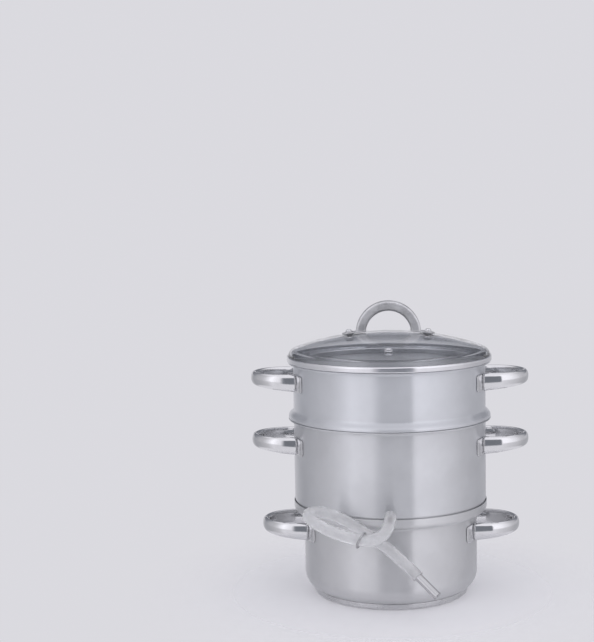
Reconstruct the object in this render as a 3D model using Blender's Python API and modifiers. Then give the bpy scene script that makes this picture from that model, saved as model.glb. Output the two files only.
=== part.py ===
"""A three-tier steam juicer, built in Blender from real sizes in metres.

The water pan stands on the table, the juice kettle sits in its rim, the fruit basket sits on the
kettle and a glass lid closes the basket. Steam from the pan rises through a cone in the kettle and
through the holes of the basket, and the juice leaves the kettle by a spout and a silicone hose.
The Z axis is the axis of every tier, and heights are measured from the table. The hose is in front,
at -Y, and the side handles are at +X and -X.
"""
import bpy
import bmesh
import math
from mathutils import Matrix, Vector

# Sheet metal, clearances and smoothness
steel = 0.0008              # thickness of every steel sheet
seat_gap = 0.0003           # clearance where one piece rests on, or is fixed to, another
nest_gap = 0.0008           # play of a tier inside the one below
overrun = 0.004             # how far a cutter reaches past what it cuts
weld_distance = 0.00001     # points closer than this are one
turn_steps = 36             # facets round a tier
small_steps = 16            # facets round a small fitting
hole_steps = 6              # facets round a steam hole

# Water pan
pan_height = 0.1172         # lip above the table
pan_corner_bend = 0.0215    # bend between wall and floor
collar_height = 0.007       # upright band that holds the kettle
ledge_bend = 0.0055         # bend below the collar
ledge_flat = 0.0021         # flat part of the ledge that the kettle stands on
neck_bend = 0.005           # bend from the ledge into the wall
base_inset = 0.0117         # from the pan's wall in to the side of its thick base
base_cap_bend = 0.0028
core_thickness = 0.0041     # aluminium disc inside the base

# Juice kettle
kettle_radius = 0.120       # outside of the wall, and of the basket's wall
kettle_height = 0.1048      # from the pan's lip to the kettle's rim
lip_bend = 0.0045           # bend of a turned-out rim
lip_flat = 0.0016           # flat part of the rim outside the bend
gutter_width = 0.0116       # flat ring of the floor next to the wall
floor_rise = 0.009          # the floor climbs from the gutter to the cone
cone_pad_width = 0.014      # flat ring of the floor round the steam hole
cone_hole_radius = 0.044   # opening in the kettle's floor
cone_flange = 0.010         # how far the cone's foot laps over the floor
cone_top_radius = 0.017
cone_top_gap = 0.0136       # from its open top to the basket's floor
cone_steps = 24

# Spout, hose and end pipe
spout_radius = 0.0045       # outside of the steel tube
spout_lip_gap = 0.0008      # between the spout and the pan's lip below it
spout_reach = 0.022         # from the kettle's wall to the spout's end
spout_flange_radius = 0.0075
hose_radius = 0.007         # outside of the silicone hose
hose_bore_radius = 0.005
hose_start = 0.005          # from the kettle's wall to the hose's end on the spout
hose_step = 0.014           # distance between the points that the hose follows
pipe_length = 0.041         # steel pipe in the hose's free end
pipe_sleeve = 0.010         # part of it that the hose covers
pipe_flare = 0.0007         # how much its open end is turned out
pipe_flare_length = 0.002
clip_wire_radius = 0.0012
clip_slack = 0.001          # between the hose and the clip
clip_opening_degrees = 75   # the opening is at the back, towards the wall
clip_tilt_degrees = -18     # how far the clip leans over along the hose
clip_place = 0.074          # along the hose, from its start to the clip

# Fruit basket
basket_height = 0.0702      # from the kettle's rim to the basket's rim
skirt_height = 0.0095       # flare of the wall above the kettle's rim
skirt_shares = (0, 0.33, 0.67, 1)
skirt_band = 0.002          # upright edge below the flare
basket_nest = 0.038         # depth of the lower part inside the kettle
basket_corner_bend = 0.008
steam_hole_radius = 0.003   # of a hole in the basket's floor
steam_hole_rings = 4        # rings of holes round the middle one
steam_hole_border = 0.0184  # from the outer ring of holes to the corner's bend

# Lid
band_overhang = 0.0016      # how far the steel band reaches past the basket's rim
band_height = 0.0049        # upright part of the band
band_lip_width = 0.0017     # the part that is turned in to the glass
band_lip_rise = 0.002
band_skirt = 0.006          # depth of the band's skirt inside the basket
glass_thickness = 0.004
glass_rise = 0.0281         # from the band's lip to the top of the dome
glass_upright = 0.0048      # height of the upright edge inside the band
shoulder_bend = 0.010       # the tight bend between the edge and the wide dome
under_glass_gap = 0.0006    # between the curved inner side of the glass and a flat flange
dome_ring_shares = (0, 0.18, 0.36, 0.47, 0.61, 0.75, 0.86)
vent_inset = 0.0307         # from the edge of the glass in to the steam vent, on the front
vent_radius = 0.0025
vent_tube_radius = 0.0036
vent_flange_radius = 0.0055
vent_flange = 0.0009

# Handle on the lid
arch_radius = 0.0408        # outside of the arch
arch_height = 0.0389        # from the top of the dome to the top of the arch
arch_thickness = 0.0125     # measured towards the middle of the arch
arch_depth = 0.016          # measured from front to back
arch_roundness = 0.45       # 1 gives an oval section, 0 a square one
stud_reach = 0.0082         # from the arch out to each bolt
tab_thickness = 0.0015
tab_half_width = 0.0085
tab_overlap = 0.0012        # how far a tab reaches past the arch on its inner side
bolt_radius = 0.002
bolt_head_radius = 0.0035
bolt_head_height = 0.0024
washer_radius = 0.005
washer_thickness = 0.0008
seal_radius = 0.0065
seal_flange = 0.0008
seal_sleeve_radius = 0.0036
nut_radius = 0.0055
nut_height = 0.005
nut_wall = 0.001            # closed end of the cap nut
nut_straight_share = 0.4    # part of the nut's height with straight sides
nut_crown_share = 0.8       # where the crown bends, as a share of the nut's height and radius

# Side handles
handle_reach = 0.0535       # from the wall to the handle's outer side
handle_half_width = 0.038   # from the middle to the middle of each arm
handle_bend_depth = 0.034   # depth of the rounded end
handle_thickness = 0.009
handle_outer_height = 0.016
handle_root_height = 0.022
basket_handle_drop = 0.0127 # from the tier's rim to the handle's top
kettle_handle_drop = 0.0207
pan_handle_drop = 0.0065    # from the neck's lower end to the handle's top
plate_thickness = 0.0015    # foot plate between an arm and the wall
plate_width = 0.034
plate_height = 0.021
plate_drop = 0.0005         # from the handle's top to the plate's top
plate_outward_share = 0.10  # how far a plate is set outward of its arm, as a share of its width

# Route of the hose's middle line, chosen by hand from the spout's end to the end pipe
hose_route = [
    (0.000, -0.142, 0.1225),
    (-0.0005, -0.151, 0.1200),
    (-0.0025, -0.1605, 0.1135),
    (-0.0085, -0.1685, 0.1075),
    (-0.0180, -0.1745, 0.1050),
    (-0.0290, -0.1775, 0.1055),
    (-0.0410, -0.1785, 0.1085),
    (-0.0535, -0.1780, 0.1122),
    (-0.0662, -0.1766, 0.1168),
    (-0.0802, -0.1734, 0.1227),
    (-0.0914, -0.1643, 0.1270),
    (-0.0975, -0.1512, 0.1292),
    (-0.0975, -0.1380, 0.1301),
    (-0.0914, -0.1249, 0.1295),
    (-0.0802, -0.1158, 0.1266),
    (-0.0662, -0.1130, 0.1217),
    (-0.0537, -0.1168, 0.1165),
    (-0.0418, -0.1222, 0.1105),
    (-0.0303, -0.1260, 0.1035),
    (-0.0190, -0.1285, 0.0962),
    (-0.0085, -0.1300, 0.0892),
    (0.0016, -0.1304, 0.0816),
    (0.0112, -0.1316, 0.0731),
    (0.0203, -0.1339, 0.0647),
    (0.0251, -0.1355, 0.0601),
]
pipe_direction = Vector((0.693, -0.355, -0.628)).normalized()

# Heights and radii that follow from the sizes above
rim_radius = kettle_radius + seat_gap + steel
lip_radius = kettle_radius + lip_bend + lip_flat
pan_radius = rim_radius - ledge_bend - ledge_flat - neck_bend
base_radius = pan_radius - base_inset
floor_height = steel + seat_gap + core_thickness + seat_gap
collar_bottom = pan_height - collar_height
ledge_height = collar_bottom - ledge_bend
kettle_corner_bend = ledge_bend - steel - seat_gap
kettle_floor = collar_bottom - kettle_corner_bend
kettle_rim = pan_height + kettle_height
kettle_inside = kettle_radius - steel
spout_height = pan_height + spout_lip_gap + spout_radius
basket_seat = kettle_rim + seat_gap
basket_rim = basket_seat + basket_height
basket_nest_radius = kettle_inside - nest_gap
basket_floor = basket_seat - basket_nest
steam_hole_pitch = (basket_nest_radius - basket_corner_bend - steam_hole_border) / steam_hole_rings
cone_flange_top = kettle_floor + floor_rise + steel + seat_gap + steel
cone_top = basket_floor - cone_top_gap
band_radius = lip_radius + band_overhang
band_bottom = basket_rim + seat_gap
band_top = band_bottom + band_height + band_lip_rise
band_skirt_radius = kettle_inside - nest_gap
glass_radius = band_radius - band_lip_width - seat_gap
glass_bottom = band_bottom + steel + seat_gap
glass_top = band_top + glass_rise
shoulder_radius = glass_radius - shoulder_bend
shoulder_height = glass_bottom + glass_upright
shoulder_drop = glass_top - shoulder_height
dome_radius = ((shoulder_radius ** 2 + shoulder_drop ** 2 - shoulder_bend ** 2)
               / (2 * (shoulder_drop - shoulder_bend)))
dome_middle = glass_top - dome_radius
stud_place = arch_radius + stud_reach
tab_length = stud_reach + arch_thickness + tab_overlap
vent_place = glass_radius - vent_inset
tab_bottom = seat_gap + seal_flange + seat_gap
tab_top = tab_bottom + tab_thickness
bolt_hole_radius = bolt_radius + seat_gap
glass_hole_radius = seal_sleeve_radius + seat_gap


# Helpers for objects, materials and shapes

def clear_scene():
    for item in list(bpy.data.objects):
        bpy.data.objects.remove(item, do_unlink=True)


def new_collection(name):
    collection = bpy.data.collections.new(name)
    bpy.context.scene.collection.children.link(collection)
    return collection


def new_material(name, color, roughness, metallic):
    material = bpy.data.materials.new(name)
    material.use_nodes = True
    shader = material.node_tree.nodes["Principled BSDF"]
    shader.inputs["Base Color"].default_value = (*color, 1)
    shader.inputs["Roughness"].default_value = roughness
    shader.inputs["Metallic"].default_value = metallic
    return material


def add_tier(name):
    """Adds an empty on the common axis, which carries the pieces of one tier."""
    tier = bpy.data.objects.new(name, None)
    juicer.objects.link(tier)
    return tier


def add_piece(name, data, tier, looks):
    """Adds a named piece to the juicer, carried by its tier, with a material of its own."""
    piece = bpy.data.objects.new(name, data)
    data.materials.append(new_material(name + "_material", *looks))
    juicer.objects.link(piece)
    piece.parent = tier
    return piece


def add_cutter(name, data):
    cutter = bpy.data.objects.new(name, data)
    cutters.objects.link(cutter)
    cutter.hide_render = True
    cutter.display_type = "WIRE"
    return cutter


def line_mesh(name, points, closed=False):
    """Makes a chain of edges in the XZ plane from (radius, height) pairs."""
    mesh = bpy.data.meshes.new(name)
    edges = [(i, i + 1) for i in range(len(points) - 1)]
    if closed:
        edges.append((len(points) - 1, 0))
    mesh.from_pydata([(radius, 0, height) for radius, height in points], edges, [])
    return mesh


def add_screw(piece, steps, sweep_degrees=360):
    screw = piece.modifiers.new("turn", "SCREW")
    screw.angle = math.radians(sweep_degrees)
    screw.steps = steps
    screw.render_steps = steps
    screw.use_merge_vertices = True
    screw.merge_threshold = weld_distance
    screw.use_smooth_shade = True


def turned_sheet(name, line, tier, looks, steps=turn_steps):
    """Turns an outer line, written from top to bottom, into a sheet of even thickness."""
    piece = add_piece(name, line_mesh(name, line), tier, looks)
    add_screw(piece, steps)
    add_solidify(piece, steel, -1)
    return piece


def add_solidify(piece, thickness, offset):
    solidify = piece.modifiers.new("thickness", "SOLIDIFY")
    solidify.thickness = thickness
    solidify.offset = offset
    solidify.use_even_offset = True


def turned_solid(name, outline, tier, looks, steps=small_steps, closed=False):
    """Turns an outline into a solid. A closed outline leaves a hole along the axis."""
    piece = add_piece(name, line_mesh(name, outline, closed), tier, looks)
    add_screw(piece, steps)
    return piece


def arc(middle_radius, middle_height, bend, start_degrees, end_degrees, spans):
    """Gives points on an arc of a profile, with both its ends."""
    points = []
    for i in range(spans + 1):
        angle = math.radians(start_degrees + (end_degrees - start_degrees) * i / spans)
        points.append((middle_radius + bend * math.cos(angle), middle_height + bend * math.sin(angle)))
    return points


def rod_mesh(name, radius, length, steps):
    """Makes a closed cylinder along Z, centred on its middle."""
    mesh = bpy.data.meshes.new(name)
    shape = bmesh.new()
    bmesh.ops.create_cone(shape, cap_ends=True, segments=steps, radius1=radius, radius2=radius,
                          depth=length)
    shape.to_mesh(mesh)
    shape.free()
    return mesh


def cut(piece, cutter, operation="DIFFERENCE"):
    boolean = piece.modifiers.new(cutter.name, "BOOLEAN")
    boolean.operation = operation
    boolean.object = cutter


def loft_mesh(name, rings, open_end=False):
    """Skins rings of equal point counts, closed at the first ring and, if asked, at the last."""
    shape = bmesh.new()
    rows = [[shape.verts.new(point) for point in ring] for ring in rings]
    count = len(rows[0])
    for row, next_row in zip(rows, rows[1:]):
        for i in range(count):
            j = (i + 1) % count
            shape.faces.new((row[i], row[j], next_row[j], next_row[i]))
    shape.faces.new(list(reversed(rows[0])))
    if not open_end:
        shape.faces.new(rows[-1])
    bmesh.ops.recalc_face_normals(shape, faces=shape.faces)
    mesh = bpy.data.meshes.new(name)
    shape.to_mesh(mesh)
    shape.free()
    mesh.shade_smooth()
    return mesh


def section(width, height, roundness=0.7, points=10):
    """Gives a rounded section as (across, up) pairs. Roundness 1 is an ellipse, 0 a rectangle."""
    pairs = []
    for i in range(points):
        angle = 2 * math.pi * (i + 0.5) / points
        across = math.copysign(abs(math.cos(angle)) ** roundness, math.cos(angle))
        up = math.copysign(abs(math.sin(angle)) ** roundness, math.sin(angle))
        pairs.append((width / 2 * across, height / 2 * up))
    return pairs


# Profiles of the tiers, as (radius, height) from top to bottom on the outer side

def turned_out_rim(rim_height):
    """Gives the underside of a turned-out rim and the top of the wall that carries it."""
    under = rim_height - steel
    return [(lip_radius, under)] + arc(kettle_radius + lip_bend, under - lip_bend, lip_bend, 90, 180, 2)


def pan_line():
    collar = [(rim_radius, pan_height)]
    collar += arc(rim_radius - ledge_bend, collar_bottom, ledge_bend, 0, -90, 2)
    neck = arc(pan_radius + neck_bend, ledge_height - neck_bend, neck_bend, 90, 180, 2)
    corner_radius = pan_radius - pan_corner_bend
    corner = arc(corner_radius, floor_height + pan_corner_bend, pan_corner_bend, 0, -90, 4)
    return collar + neck + corner + [(0, floor_height)]


def pan_underside(radius):
    """Gives the height of the pan's outer side at a radius within its corner bend."""
    reach = radius - (pan_radius - pan_corner_bend)
    return floor_height + pan_corner_bend - math.sqrt(pan_corner_bend ** 2 - reach ** 2)


def base_cap_line():
    top = pan_underside(base_radius - steel) - seat_gap
    corner = arc(base_radius - base_cap_bend, base_cap_bend, base_cap_bend, 0, -90, 2)
    return [(base_radius, top)] + corner + [(0, 0)]


def kettle_line():
    seat = arc(rim_radius - ledge_bend, collar_bottom, kettle_corner_bend, 0, -90, 2)
    gutter = (rim_radius - ledge_bend - gutter_width, kettle_floor)
    pad_height = kettle_floor + floor_rise
    pad = [(cone_hole_radius + cone_pad_width, pad_height), (cone_hole_radius, pad_height)]
    return turned_out_rim(kettle_rim) + seat + [gutter] + pad


def cone_line():
    wall_foot = (cone_hole_radius - 2 * steel, cone_flange_top + steel)
    return [(cone_top_radius, cone_top), wall_foot, (cone_hole_radius, cone_flange_top),
            (cone_hole_radius + cone_flange, cone_flange_top)]


def skirt_points():
    """Flares the basket's wall out to the rim below it, along half a cosine wave."""
    top = basket_seat + skirt_band + skirt_height
    points = []
    for share in skirt_shares:
        flare = (1 - math.cos(math.pi * share)) / 2
        points.append((kettle_radius + (lip_radius - kettle_radius) * flare, top - skirt_height * share))
    return points


def basket_line():
    seat = [(lip_radius, basket_seat), (basket_nest_radius, basket_seat)]
    corner_radius = basket_nest_radius - basket_corner_bend
    corner = arc(corner_radius, basket_floor + basket_corner_bend, basket_corner_bend, 0, -90, 2)
    return turned_out_rim(basket_rim) + skirt_points() + seat + corner + [(0, basket_floor)]


def dome_height(radius):
    """Gives the height of the glass's top at a radius within the wide dome."""
    return dome_middle + math.sqrt(dome_radius ** 2 - radius ** 2)


def glass_line():
    """Gives the dome, the tight bend at its edge and the upright edge inside the steel band."""
    tangent_degrees = math.degrees(math.acos(shoulder_radius / (dome_radius - shoulder_bend)))
    tangent_radius = shoulder_radius + shoulder_bend * math.cos(math.radians(tangent_degrees))
    radii = [tangent_radius * share for share in dome_ring_shares]
    dome = [(radius, dome_height(radius)) for radius in radii]
    shoulder = arc(shoulder_radius, shoulder_height, shoulder_bend, tangent_degrees, 0, 3)
    return dome + shoulder + [(glass_radius, glass_bottom)]


def band_line():
    lip = []
    for i in range(4):
        angle = math.radians(90 - 30 * i)
        lip.append((band_radius - band_lip_width + band_lip_width * math.cos(angle),
                    band_bottom + band_height + band_lip_rise * math.sin(angle)))
    return lip + [(band_radius, band_bottom), (band_skirt_radius, band_bottom),
                  (band_skirt_radius, band_bottom - band_skirt)]


# Side handles and their foot plates

def handle_rings(wall_radius):
    """Gives the sections of half a handle, from inside the wall to the middle of its outer end."""
    outer = wall_radius + handle_reach - handle_thickness / 2
    bend_start = outer - handle_bend_depth
    root = wall_radius * math.cos(math.asin((handle_half_width + handle_thickness) / wall_radius))
    places = [(root, handle_half_width, 0), ((root + bend_start) / 2, handle_half_width, 0)]
    for i in range(8):
        angle = math.pi / 2 * i / 7
        turn = math.atan2(handle_bend_depth * math.sin(angle), handle_half_width * math.cos(angle))
        places.append((bend_start + handle_bend_depth * math.sin(angle),
                       handle_half_width * math.cos(angle), turn))
    rings = []
    for x, y, turn in places:
        share = (outer - x) / (outer - root)
        height = handle_outer_height + (handle_root_height - handle_outer_height) * share
        across = Vector((math.sin(turn), math.cos(turn), 0))
        middle = Vector((x, y, -height / 2))
        rings.append([middle + across * side + Vector((0, 0, up))
                      for side, up in section(handle_thickness, height)])
    return rings


def add_handle(tier_name, side, turn_degrees, wall_radius, top, tier, wall_cutter):
    """Adds one side handle, cut to the curve of its foot plates, and the two plates."""
    handle = add_piece(f"{tier_name}_handle_{side}", loft_mesh("handle", handle_rings(wall_radius), True),
                       tier, polished_steel)
    mirror = handle.modifiers.new("other half", "MIRROR")
    mirror.use_axis = (False, True, False)
    mirror.use_clip = True
    mirror.merge_threshold = weld_distance
    cut(handle, wall_cutter)
    handle.location.z = top
    handle.rotation_euler.z = math.radians(turn_degrees)
    plate_radius = wall_radius + seat_gap
    sweep = math.degrees(plate_width / plate_radius)
    arm = math.degrees(math.asin(handle_half_width / plate_radius)) + sweep * plate_outward_share
    ends = {"front": -1, "back": 1}
    for end, sign in ends.items():
        direction = sign if turn_degrees == 0 else -sign
        line = [(plate_radius, -plate_drop), (plate_radius, -plate_drop - plate_height)]
        name = f"{tier_name}_handle_plate_{side}_{end}"
        plate = add_piece(name, line_mesh(name, line), tier, satin_steel)
        add_screw(plate, 3, sweep)
        add_solidify(plate, plate_thickness, 1)
        plate.location.z = top
        plate.rotation_euler.z = math.radians(turn_degrees + direction * arm - sweep / 2)


def add_handles(tier_name, wall_radius, top, tier):
    cut_radius = wall_radius + seat_gap + plate_thickness + seat_gap
    wall_cutter = add_cutter(tier_name + "_wall_cutter",
                             rod_mesh(tier_name + "_wall_cutter", cut_radius,
                                      2 * (handle_root_height + overrun), 96))
    wall_cutter.location.z = top
    add_handle(tier_name, "right", 0, wall_radius, top, tier, wall_cutter)
    add_handle(tier_name, "left", 180, wall_radius, top, tier, wall_cutter)


# The water pan

def build_water_pan():
    tier = add_tier("water_pan")
    turned_sheet("water_pan_body", pan_line(), tier, satin_steel)
    turned_sheet("base_cap", base_cap_line(), tier, satin_steel)
    core_radius = base_radius - steel - seat_gap
    core_bottom = steel + seat_gap
    core_edge = base_cap_bend
    outline = [(0, core_bottom + core_thickness), (core_radius - core_edge, core_bottom + core_thickness),
               (core_radius, core_bottom + core_thickness - core_edge / 2),
               (core_radius, core_bottom + core_edge), (core_radius - core_edge, core_bottom),
               (0, core_bottom)]
    turned_solid("base_core_disc", outline, tier, aluminium, turn_steps)
    add_handles("water_pan", pan_radius, ledge_height - neck_bend - pan_handle_drop, tier)


# The juice kettle with its cone, spout and hose

def build_kettle():
    tier = add_tier("juice_kettle")
    body = turned_sheet("kettle_body", kettle_line(), tier, satin_steel)
    hole = add_cutter("spout_hole", rod_mesh("spout_hole", spout_radius + seat_gap,
                                             2 * (steel + overrun), small_steps))
    hole.rotation_euler.x = math.radians(90)
    hole.location = (0, -kettle_radius, spout_height)
    cut(body, hole)
    turned_sheet("steam_cone", cone_line(), tier, satin_steel, cone_steps)
    add_spout(tier)
    add_handles("kettle", kettle_radius, kettle_rim - kettle_handle_drop, tier)
    route = hose_points()
    add_hose(tier, route)
    add_clip(tier, route)


def add_spout(tier):
    """The spout is a flanged tube: the flange is inside the wall and the tube comes out at -Y."""
    bore = spout_radius - steel
    flange_face = kettle_inside * math.cos(math.pi / turn_steps) - 2 * seat_gap
    end = kettle_radius + spout_reach
    outline = [(spout_radius, end), (spout_radius, flange_face), (spout_flange_radius, flange_face),
               (spout_flange_radius, flange_face - steel), (bore, flange_face - steel), (bore, end)]
    spout = turned_solid("spout", outline, tier, polished_steel, closed=True)
    spout.rotation_euler.x = math.radians(90)
    spout.location.z = spout_height


def curve_point(before, start, end, after, share):
    """Gives a point on the Catmull-Rom curve between start and end."""
    return (start + (end - before) / 2 * share
            + (before - start * 2.5 + end * 2 - after / 2) * share ** 2
            + ((start - end) * 1.5 + (after - before) / 2) * share ** 3)


def even_points(points, step):
    """Walks along a chain of points and gives points at an even distance near the wanted step."""
    lengths = [(b - a).length for a, b in zip(points, points[1:])]
    total = sum(lengths)
    count = round(total / step)
    result = [points[0]]
    walked = 0
    index = 0
    for k in range(1, count):
        target = total * k / count
        while walked + lengths[index] < target:
            walked += lengths[index]
            index += 1
        share = (target - walked) / lengths[index]
        result.append(points[index].lerp(points[index + 1], share))
    result.append(points[-1])
    return result


def hose_points():
    """Gives the hose's middle line: the part on the spout, the free loop and the part on the pipe."""
    knots = [Vector(point) for point in hose_route]
    knots[0] = Vector((0, -kettle_radius - spout_reach, spout_height))
    ends = [knots[0] * 2 - knots[1]] + knots + [knots[-1] + pipe_direction * hose_step]
    dense = []
    for i in range(1, len(ends) - 2):
        dense += [curve_point(*ends[i - 1:i + 3], k / 12) for k in range(12)]
    free = even_points(dense + [knots[-1]], hose_step)
    for _ in range(2):
        free = [free[0]] + [(a + b * 2 + c) / 4 for a, b, c in zip(free, free[1:], free[2:])] + [free[-1]]
    start = Vector((0, -kettle_radius - hose_start, spout_height))
    end = knots[-1] + pipe_direction * pipe_sleeve
    return [start] + free + [end]


def chain_length(points):
    return sum((b - a).length for a, b in zip(points, points[1:]))


def tube_mesh(name, points, radius, resolution):
    """Makes a closed tube along a chain of points as a curve, and turns it into a mesh."""
    curve = bpy.data.curves.new(name, "CURVE")
    curve.dimensions = "3D"
    curve.bevel_depth = radius
    curve.bevel_resolution = resolution
    curve.use_fill_caps = True
    spline = curve.splines.new("POLY")
    spline.points.add(len(points) - 1)
    for knot, point in zip(spline.points, points):
        knot.co = (*point, 1)
    guide = bpy.data.objects.new(name, curve)
    cutters.objects.link(guide)
    bpy.context.view_layer.update()
    evaluated = guide.evaluated_get(bpy.context.evaluated_depsgraph_get())
    mesh = bpy.data.meshes.new_from_object(evaluated)
    bpy.data.objects.remove(guide, do_unlink=True)
    shape = bmesh.new()
    shape.from_mesh(mesh)
    bmesh.ops.remove_doubles(shape, verts=shape.verts, dist=weld_distance)
    bmesh.ops.recalc_face_normals(shape, faces=shape.faces)
    shape.to_mesh(mesh)
    shape.free()
    mesh.materials.clear()
    mesh.shade_smooth()
    return mesh


def add_hose(tier, route):
    """The hose is hollow: it fits over the spout at one end and over the steel pipe at the other."""
    hose = add_piece("juice_hose", tube_mesh("juice_hose", route, hose_radius, 4), tier, silicone)
    first = (route[0] - route[1]).normalized() * overrun
    last = (route[-1] - route[-2]).normalized() * overrun
    inside = [route[0] + first] + route + [route[-1] + last]
    bore = add_cutter("hose_bore", tube_mesh("hose_bore", inside, hose_bore_radius, 4))
    cut(hose, bore)
    print(f"hose length {chain_length(route) * 1000:.0f} mm")
    outline = [(spout_radius + pipe_flare, 0), (spout_radius + pipe_flare, -pipe_flare_length / 2),
               (spout_radius, -pipe_flare_length), (spout_radius, -pipe_length),
               (spout_radius - steel, -pipe_length), (spout_radius - steel, -pipe_flare_length),
               (spout_radius + pipe_flare - steel, 0)]
    pipe = turned_solid("hose_end_pipe", outline, tier, polished_steel, closed=True)
    pipe.location = route[-1] + pipe_direction * (pipe_length - pipe_sleeve)
    pipe.rotation_euler = pipe_direction.to_track_quat("Z", "Y").to_euler()


def add_clip(tier, route):
    """An open ring of spring wire, which pinches the hose shut when it is squeezed."""
    walked = 0
    for start, end in zip(route, route[1:]):
        walked += (end - start).length
        if walked > clip_place:
            break
    ring_radius = hose_radius + clip_slack + clip_wire_radius
    sweep = 360 - clip_opening_degrees
    points = []
    for i in range(21):
        angle = math.radians(180 + clip_opening_degrees / 2 + sweep * i / 20)
        points.append(Vector((ring_radius * math.cos(angle), ring_radius * math.sin(angle), 0)))
    clip = add_piece("hose_clip", tube_mesh("hose_clip", points, clip_wire_radius, 1), tier, dark_steel)
    along = (end - start).normalized()
    lean = Matrix.Rotation(math.radians(clip_tilt_degrees), 3, "X")
    clip.location = end - along * (walked - clip_place)
    clip.rotation_euler = (along.to_track_quat("Z", "Y").to_matrix() @ lean).to_euler()


# The fruit basket

def steam_holes():
    """Makes the cutters of the floor's holes: one in the middle and rings of 6, 12, 18 and so on."""
    shape = bmesh.new()
    places = [(0, 0)]
    for ring in range(1, steam_hole_rings + 1):
        for k in range(6 * ring):
            angle = 2 * math.pi * (k + 0.5 * (ring % 2)) / (6 * ring)
            radius = steam_hole_pitch * ring
            places.append((radius * math.cos(angle), radius * math.sin(angle)))
    for x, y in places:
        bmesh.ops.create_cone(shape, cap_ends=True, segments=hole_steps, radius1=steam_hole_radius,
                              radius2=steam_hole_radius, depth=2 * overrun,
                              matrix=Matrix.Translation((x, y, basket_floor)))
    mesh = bpy.data.meshes.new("steam_holes")
    shape.to_mesh(mesh)
    shape.free()
    return mesh


def build_basket():
    tier = add_tier("fruit_basket")
    body = turned_sheet("basket_body", basket_line(), tier, satin_steel)
    cut(body, add_cutter("steam_holes", steam_holes()))
    add_handles("basket", kettle_radius, basket_rim - basket_handle_drop, tier)


# The lid

def place_on_dome(piece, place, turn="Y"):
    """Stands a piece upright on the glass, at a distance from the axis along X or towards the front."""
    tilt = math.asin(place / dome_radius)
    if turn == "Y":
        piece.location = (place, 0, dome_height(place))
        piece.rotation_euler.y = tilt
    else:
        piece.location = (0, -place, dome_height(place))
        piece.rotation_euler.x = tilt


def build_lid():
    tier = add_tier("lid")
    glass = add_piece("lid_glass", line_mesh("lid_glass", glass_line()), tier, glass_looks)
    add_screw(glass, turn_steps)
    add_solidify(glass, glass_thickness, -1)
    turned_sheet("lid_rim_band", band_line(), tier, polished_steel)
    for side, place in (("right", stud_place), ("left", -stud_place)):
        hole_name = f"glass_hole_{side}"
        hole = add_cutter(hole_name, rod_mesh(hole_name, glass_hole_radius,
                                              2 * (glass_thickness + overrun), small_steps))
        place_on_dome(hole, place)
        cut(glass, hole)
        add_stud(tier, side, place)
    add_vent(tier, glass)
    add_arch(tier)


def add_stud(tier, side, place):
    """A bolt with its washer above the handle's tab, a seal through the glass and a cap nut inside."""
    head = tab_top + seat_gap + washer_thickness + seat_gap
    nut_top = -glass_thickness - under_glass_gap
    shank_end = nut_top - nut_height + nut_wall + seat_gap
    bevel = bolt_head_height / 4
    bolt = turned_solid(f"lid_bolt_{side}", [
        (0, head + bolt_head_height), (bolt_head_radius - bevel, head + bolt_head_height),
        (bolt_head_radius, head + bolt_head_height - bevel), (bolt_head_radius, head),
        (bolt_radius, head), (bolt_radius, shank_end), (0, shank_end)], tier, polished_steel)
    washer = turned_solid(f"lid_washer_{side}", [
        (washer_radius, tab_top + seat_gap + washer_thickness), (washer_radius, tab_top + seat_gap),
        (bolt_hole_radius, tab_top + seat_gap), (bolt_hole_radius, tab_top + seat_gap + washer_thickness),
    ], tier, polished_steel, closed=True)
    seal = turned_solid(f"lid_seal_{side}", [
        (seal_radius, seat_gap + seal_flange), (seal_radius, seat_gap), (seal_sleeve_radius, seat_gap),
        (seal_sleeve_radius, -glass_thickness), (bolt_hole_radius, -glass_thickness),
        (bolt_hole_radius, seat_gap + seal_flange)], tier, silicone, closed=True)
    nut = turned_solid(f"lid_nut_{side}", [
        (bolt_hole_radius, nut_top), (nut_radius, nut_top),
        (nut_radius, nut_top - nut_height * nut_straight_share),
        (nut_radius * nut_crown_share, nut_top - nut_height * nut_crown_share),
        (nut_radius / 2, nut_top - nut_height), (0, nut_top - nut_height),
        (0, nut_top - nut_height + nut_wall), (bolt_hole_radius, nut_top - nut_height + nut_wall),
    ], tier, polished_steel, closed=True)
    for piece in (bolt, washer, seal, nut):
        place_on_dome(piece, place)


def add_vent(tier, glass):
    """An eyelet through the glass lets surplus steam out."""
    hole = add_cutter("vent_hole", rod_mesh("vent_hole", vent_tube_radius + seat_gap,
                                            2 * (glass_thickness + overrun), small_steps))
    place_on_dome(hole, vent_place, "X")
    cut(glass, hole)
    top = seat_gap + vent_flange
    bottom = -glass_thickness - under_glass_gap
    vent = turned_solid("steam_vent_eyelet", [
        (vent_radius, top), (vent_flange_radius, top), (vent_flange_radius, seat_gap),
        (vent_tube_radius, seat_gap), (vent_tube_radius, bottom), (vent_flange_radius, bottom),
        (vent_flange_radius, bottom - vent_flange), (vent_radius, bottom - vent_flange),
    ], tier, polished_steel, closed=True)
    place_on_dome(vent, vent_place, "X")


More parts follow.
